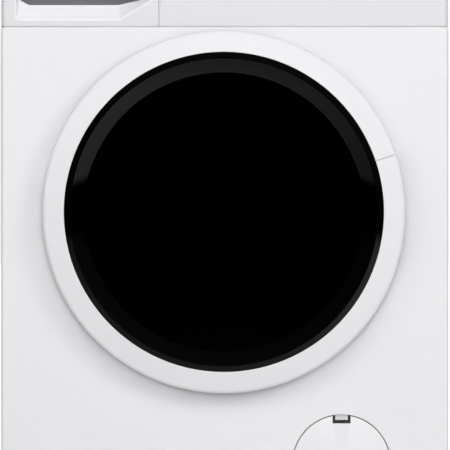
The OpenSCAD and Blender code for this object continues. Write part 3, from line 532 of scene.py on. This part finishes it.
def ring_prof(back):
    pts = [(RI, -292.0)]
    pts += [(RI, -301.9), (RI + 0.12, -302.35), (RI + 0.45, -302.65)]
    for i in range(1, 25):
        t = i / 24
        pts.append((RI + 0.7 + (RO - 4.4 - RI - 0.7) * t, -302.75 + 7.2 * t ** 1.05))
    for i in range(1, 11):
        a = rad(-74 + 72 * i / 10)
        pts.append((RO - 5.6 + 5.6 * cos(a), -289.9 + 5.6 * sin(a)))
    pts += [(RO + 0.3, back), (RO - 2.6, back), (RO - 3.1, -289.5), (RO - 8, -293.6), (RI + 3.2, -299.2), (RI + 3.0, -292.0)]
    return pts


HA = 18.5
me = lathe("door_ring_skin", ring_prof(-270.7), DX, DZ, HA + 0.09, 360 - HA - 0.015, seg=360)
steps = []
for s in (-1, 1):
    a, b = sorted((DZ + s * 16.2, DZ + s * 31.4))
    steps.append(("cut", boxmesh("c", -250, -235.2, -291.2, -268, a, b)))
me = modify(me, *steps)
ring = link("door_ring_skin", me, RING, "door", 30)
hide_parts("door_ring")
me = lathe("door_handle_skin", ring_prof(-283.5), DX, DZ, -HA + 0.0, HA - 0.09, seg=360)
handle = link("door_handle_skin", me, RING, "handle", 30)
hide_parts("door_handle")

GR = 185.4
prof = [(0, -301), (0, -305), (GR - 0.3, -305), (GR + 0.5, -304.93), (GR + 1.3, -304.7)]
prof += [(203.7, -298.35), (204.1, -298.1), (204.3, -297.6), (204.3, -294.2), (GR, -301)]
glass = link("door_glass_pane", lathe("door_glass_pane", prof, DX, DZ, seg=360), GLASSB, "door", 25)
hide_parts("door_glass")
prof = [(204.6, -297.5), (204.9, -297.8), (211.9, -301.7), (212.4, -301.6), (212.6, -301.2), (212.6, -287), (209.2, -287), (209.2, -275.6), (206.2, -275.6), (206.2, -290.5), (199, -290.5), (199, -293.8), (204.6, -293.8)]
trim = link("door_trim_ring", lathe("door_trim_ring", prof, DX, DZ, seg=360), TRIMB, "door", 25)
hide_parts("door_trim")

# ---------------------------------------------------------------- service cover
prof = [(0, YF), (CR - 0.7, YF), (CR - 0.2, YF + 0.2), (CR, YF + 0.7), (CR, YF + 3), (CR - 2.4, YF + 3), (CR - 2.4, YF + 2.4), (0, YF + 2.4)]
me = lathe("cover_disc", prof, CX, CZ, seg=200)
me = modify(me, ("cut", prism("c", fillet([(CX - 12, CZ + CR - 10.9), (CX + 12, CZ + CR - 10.9), (CX + 12, CZ + 80), (CX - 12, CZ + 80)], 1.2), -275, -258)))
cover = link("cover_disc", me, ENAMEL, "cover", 30)
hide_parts("service_cover")
hz, hy = CZ - 75.5, -262.6


def arcp(cx, cy, r, a0, a1, n):
    return [(cx + r * cos(rad(a0 + (a1 - a0) * i / n)), cy + r * sin(rad(a0 + (a1 - a0) * i / n))) for i in range(n + 1)]


arm = [(hy, hz - 2.4)] + arcp(hy, hz, 16.6, -8.3, 84, 14) + [(hy + 1.7, hz + 22), (-264.8, hz + 22), (-264.8, hz + 13.5)] + arcp(hy, hz, 13.6, 98, 5, 14) + [(hy, hz + 1.2)]
parts = []
for s in (-1, 1):
    parts.append(modify(prism("t", arm, CX + s * 16 - 2, CX + s * 16 + 2, axis="x"), ("bevel", 0.3, 2, 50)))
    parts.append(prism("h", arcp(hy, hz, 2.8, 0, 345, 23), CX + s * 16 - 2, CX + s * 16 + 2, axis="x"))
    x0, x1 = CX + (-24 if s < 0 else 17), CX + (-17 if s < 0 else 24)
    parts.append(prism("p", arcp(hy, hz, 1.6, 0, 345, 23), x0, x1, axis="x"))
parts.append(modify(boxmesh("l", CX - 15, CX + 15, YF + 2.3, YF + 6, CZ + 48, CZ + 50), ("bevel", 0.4, 2)))
fit = link("cover_hinge_tabs", merge("cover_hinge_tabs", *parts), ENAMEL, "cover", 30)

# ---------------------------------------------------------------- controls
KR = 21.0
prof = [(0, -290.2), (KR - 4.5, -290.4), (KR - 2.2, -290.0), (KR - 1.2, -289.2), (KR - 0.7, -287.8), (KR + 0.1, -273), (KR - 0.6, -271.8), (KR - 2.2, -271.6), (KR - 3, -286.5), (4.4, -286.5), (4.4, -259.4), (0, -259.4)]
me = modify(lathe("knob_cap", prof, KX, CTZ, seg=144), ("cut", boxmesh("c", KX - 0.7, KX + 0.7, -293, -289.6, CTZ + KR - 10, CTZ + KR - 4)))
knob = link("knob_cap", me, KNOBW, "knob", 30)
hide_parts("program_knob")
k2 = link("knob_band", lathe("knob_band", fillet([(KR - 0.35, -279.5), (KR + 0.3, -279.5), (KR + 0.35, -275.0), (KR - 0.3, -275.0)], 0.15, 3), KX, CTZ, seg=144), SILVER, "knob")
prof = [(0, -272.4), (7.5, -272.6), (9.6, -272.9), (10.5, -272.6), (11, -271.6), (11, -264), (0, -264)]
b1 = link("start_cap", lathe("start_cap", prof, STX, CTZ, seg=96), KNOBW, "start_key")
prof = fillet([(4.3, -272.35), (4.3, -272.75), (5.0, -272.75), (5.0, -272.35)], 0.1, 2)
b2 = link("start_mark", lathe("start_mark", prof, STX, CTZ, a0=-240, a1=60, seg=96), DARK, "start_key")
me = modify(prism("option_cap", rrect(OPX - 9, OPX + 9, CTZ - 6, CTZ + 6, 4.6), -271.6, -264), ("bevel", 0.9, 4))
b3 = link("option_cap", me, KNOBW, "option")
back = merge("key_backs", boxmesh("b", STX - 2, STX + 2, -265, -259.3, CTZ - 2, CTZ + 2), lathe("f", [(0, -265.8), (13.5, -265.8), (13.5, -264), (0, -264)], STX, CTZ, seg=48))
b4 = link("start_stem", back, KNOBW, "start_key")
back = merge("o", boxmesh("b", OPX - 2, OPX + 2, -265, -259.3, CTZ - 2, CTZ + 2), boxmesh("f", OPX - 11, OPX + 11, -265.8, -264, CTZ - 8, CTZ + 8))
b5 = link("option_stem", back, KNOBW, "option")
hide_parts("start_button")
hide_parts("option_key")
me = modify(prism("display_pane", rrect(70.3, 189.7, CTZ - 19.7, CTZ + 19.7, 3), -270.7, -265.0), ("bevel", 0.4, 3))
dp = link("display_pane", me, DISPLAY, "cabinet")
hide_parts("display_window")
# programme marks round the knob
marks = []
for i in range(16):
    if abs(i - 7.5) > 6:
        continue
    a = rad(90 + (i - 7.5) * 18)
    r0, r1 = KR + 4.5, KR + (7.5 if i % 5 else 8.5)
    c, s_ = cos(a), sin(a)
    w = 0.35
    pts = [(KX + r0 * c - w * s_, CTZ + r0 * s_ + w * c), (KX + r1 * c - w * s_, CTZ + r1 * s_ + w * c), (KX + r1 * c + w * s_, CTZ + r1 * s_ - w * c), (KX + r0 * c + w * s_, CTZ + r0 * s_ - w * c)]
    yy = face_y(CTZ + (r0 + r1) / 2 * s_)
    marks.append(prism("m", pts, yy - 0.05, yy + 0.5))
mk = link("programme_marks", merge("programme_marks", *marks), DARK, "cabinet")

# ---------------------------------------------------------------- floor, world and lights
bm = bmesh.new()
for v in ((-60, -60), (60, -60), (60, 60), (-60, 60)):
    bm.verts.new((v[0], v[1], -0.0005))
bm.faces.new(bm.verts)
k = N("floor_pale_painted_glow")
k.b.inputs["Roughness"].default_value = 0.6
k.link(k.mix(k.remap(k.noise(1.5, 3), 0, 1), (0.79, 0.79, 0.79), (0.81, 0.81, 0.81)), k.b.inputs["Base Color"])
# painted glow: for camera rays only the floor emits light, none within 0.7 m of the origin, rising to 0.9 at 2.6 m,
# fading it into a white backdrop
ln = k.node("ShaderNodeVectorMath", operation="LENGTH")
k.link(k.co, ln.inputs[0])
k.b.inputs["Emission Color"].default_value = (1, 1, 1, 1)
see = k.node("ShaderNodeLightPath")
mul = k.node("ShaderNodeMath", operation="MULTIPLY")
k.link(k.remap(ln.outputs["Value"], 0.0, 0.9, 0.7, 2.6), mul.inputs[0])
k.link(see.outputs["Is Camera Ray"], mul.inputs[1])
k.link(mul.outputs[0], k.b.inputs["Emission Strength"])
fm = k.m
floor = tmp(from_bm(bm, "floor"))
floor.data.materials.append(fm)
floor.visible_glossy = False

w = bpy.data.worlds.new("studio")
SC.world = w
w.use_nodes = True
t = w.node_tree
t.nodes.clear()
out = t.nodes.new("ShaderNodeOutputWorld")
lp = t.nodes.new("ShaderNodeLightPath")
mixs = t.nodes.new("ShaderNodeMixShader")
white = t.nodes.new("ShaderNodeBackground")
white.inputs["Color"].default_value = (1, 1, 1, 1)
white.inputs["Strength"].default_value = 1.0
room = t.nodes.new("ShaderNodeBackground")
tc = t.nodes.new("ShaderNodeTexCoord")
sep = t.nodes.new("ShaderNodeSeparateXYZ")
ramp = t.nodes.new("ShaderNodeValToRGB")
mr = t.nodes.new("ShaderNodeMapRange")
mr.inputs["From Min"].default_value = -1
mr.inputs["From Max"].default_value = 1
t.links.new(tc.outputs["Generated"], sep.inputs[0])
t.links.new(sep.outputs["Z"], mr.inputs["Value"])
t.links.new(mr.outputs["Result"], ramp.inputs["Fac"])
t.links.new(ramp.outputs["Color"], room.inputs["Color"])
e = ramp.color_ramp.elements
e[0].position, e[0].color = 0.0, (0.05, 0.05, 0.05, 1)
e[1].position, e[1].color = 1.0, (0.22, 0.22, 0.225, 1)
for pos, val in ((0.42, 0.03), (0.46, 0.0), (0.5 + 0.5 * 0.135, 0.0), (0.5 + 0.5 * 0.175, 0.28), (0.78, 0.36), (0.90, 0.27)):
    q = e.new(pos)
    q.color = (val, val, val * 1.01, 1)
side = t.nodes.new("ShaderNodeMapRange")
side.inputs["From Min"].default_value = -1
side.inputs["From Max"].default_value = 1
side.inputs["To Min"].default_value = 1.5
side.inputs["To Max"].default_value = 0.5
t.links.new(sep.outputs["X"], side.inputs["Value"])
t.links.new(side.outputs["Result"], room.inputs["Strength"])

t.links.new(lp.outputs["Is Camera Ray"], mixs.inputs[0])
t.links.new(room.outputs[0], mixs.inputs[1])
t.links.new(white.outputs[0], mixs.inputs[2])
t.links.new(mixs.outputs[0], out.inputs["Surface"])


def area(name, loc, target, size, power, glossy=True, colour=(1, 1, 1)):
    L = bpy.data.lights.new(name, "AREA")
    L.shape = "DISK"
    L.size = size
    L.energy = power
    L.color = colour
    ob = bpy.data.objects.new(name, L)
    COL.objects.link(ob)
    ob.location = loc
    ob.rotation_euler = (Vector(target) - Vector(loc)).to_track_quat("-Z", "Y").to_euler()
    ob.visible_camera = False
    ob.visible_glossy = glossy
    return ob


C = (0, -0.28, 0.463)
area("key_right", (0.69 * 8.2, -0.28 - 0.60 * 8.2, 0.463 + 0.41 * 8.2), C, 3.0, 145, False)
area("key_left", (-0.69 * 8.2, -0.28 - 0.60 * 8.2, 0.463 + 0.38 * 8.2), C, 2.9, 56, False)
area("top_front", (0.3, -0.28 - 0.77 * 9.5, 0.463 + 0.64 * 9.5), C, 6.6, 262, False)
area("front_fill", (0, -7.5, 1.6), C, 2.8, 113, False)
area("back_fill", (1.5, 4.0, 3.0), (0, 0, 0.5), 3.0, 90, True)

SC.view_settings.view_transform = "Standard"
SC.view_settings.look = "None"
